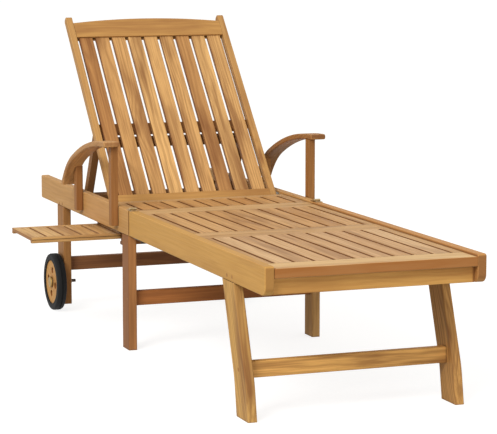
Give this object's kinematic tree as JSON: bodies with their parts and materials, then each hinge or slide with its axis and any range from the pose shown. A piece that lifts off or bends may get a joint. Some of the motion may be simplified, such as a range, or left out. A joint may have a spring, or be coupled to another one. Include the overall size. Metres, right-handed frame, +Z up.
{
  "type": "reclining sun lounger",
  "caption": "Wooden sun lounger with a slatted reclining backrest on a notched prop, folding foot section, curved arms, pull-out side tray and wheels at the head end.",
  "frame": {"origin": "middle of the bounding box, on the floor, with the tray pulled out and the backrest raised", "axes": "+Z up, +Y towards the head end, +X to the left-hand side of a person lying on it with the tray on their right"},
  "size_m": [0.883, 2.045, 0.9336],
  "materials": {
    "teak": "oiled, satin",
    "steel": "zinc plated, satin",
    "rubber": "matt"
  },
  "bodies": {
    "frame": {"rear_rail_left": "teak", "rear_rail_right": "teak", "mid_leg_left": "teak", "mid_leg_right": "teak", "rear_leg_left": "teak", "rear_leg_right": "teak", "mid_stretcher": "teak", "rear_stretcher": "teak", "seat_front_board": "teak", "seat_rear_board": "teak", "seat_slats": "teak", "seat_side_strips": "teak", "arm_left": "teak", "arm_right": "teak", "front_arm_posts": "teak", "rear_arm_posts": "teak", "prop_racks": "teak", "back_pivot_bolts": "steel", "tray_front_runner": "teak", "tray_rear_runner": "teak", "axle_bolts": "steel", "axle_nuts": "steel", "rear_hinge_leaves": "steel", "hinge_pins": "steel"},
    "foot_section": {"foot_rail_left": "teak", "foot_rail_right": "teak", "foot_leg_left": "teak", "foot_leg_right": "teak", "foot_stretcher": "teak", "fold_board": "teak", "upper_mid_board": "teak", "lower_mid_board": "teak", "foot_end_board": "teak", "upper_foot_slats": "teak", "lower_foot_slats": "teak", "foot_side_strips": "teak", "foot_apron": "teak", "foot_hinge_leaves": "steel", "fold_catches": "steel"},
    "backrest": {"back_stile_left": "teak", "back_stile_right": "teak", "back_bottom_rail": "teak", "back_top_rail": "teak", "back_slats": "teak", "back_batten": "teak", "prop_cleats": "teak", "prop_pins": "steel"},
    "prop": {"prop_arms": "teak", "prop_top_bar": "teak", "prop_lower_bar": "teak"},
    "tray": {"tray_front_edge": "teak", "tray_rear_edge": "teak", "tray_slats": "teak"},
    "wheel_left": {"tyre_left": "rubber", "wheel_disc_left": "teak", "wheel_bush_left": "steel"},
    "wheel_right": {"tyre_right": "rubber", "wheel_disc_right": "teak", "wheel_bush_right": "steel"}
  },
  "joints": [
    {"name": "foot_fold", "type": "hinge", "parent": "frame", "child": "foot_section", "pos_m": [0.0935, 0.0675, 0.4146], "axis": [-1, 0, 0], "range_deg": [0, 140]},
    {"name": "back_recline", "type": "hinge", "parent": "frame", "child": "backrest", "pos_m": [0.0935, 0.3515, 0.396], "axis": [-1, 0, 0], "range_deg": [0, 47.7]},
    {"name": "prop_swing", "type": "hinge", "parent": "backrest", "child": "prop", "pos_m": [0.0935, 0.57252, 0.58021], "axis": [1, 0, 0], "range_deg": [0, 110]},
    {"name": "tray_slide", "type": "slide", "parent": "frame", "child": "tray", "axis": [1, 0, 0], "range_m": [0, 0.235]},
    {"name": "wheel_left_spin", "type": "hinge", "parent": "frame", "child": "wheel_left", "pos_m": [-0.2265, 0.7935, 0.091], "axis": [1, 0, 0], "continuous": true},
    {"name": "wheel_right_spin", "type": "hinge", "parent": "frame", "child": "wheel_right", "pos_m": [0.4135, 0.7935, 0.091], "axis": [1, 0, 0], "continuous": true}
  ],
  "couplings": [
    {"joint": "prop_swing", "follows": "back_recline", "ratio": 2.2935}
  ]
}
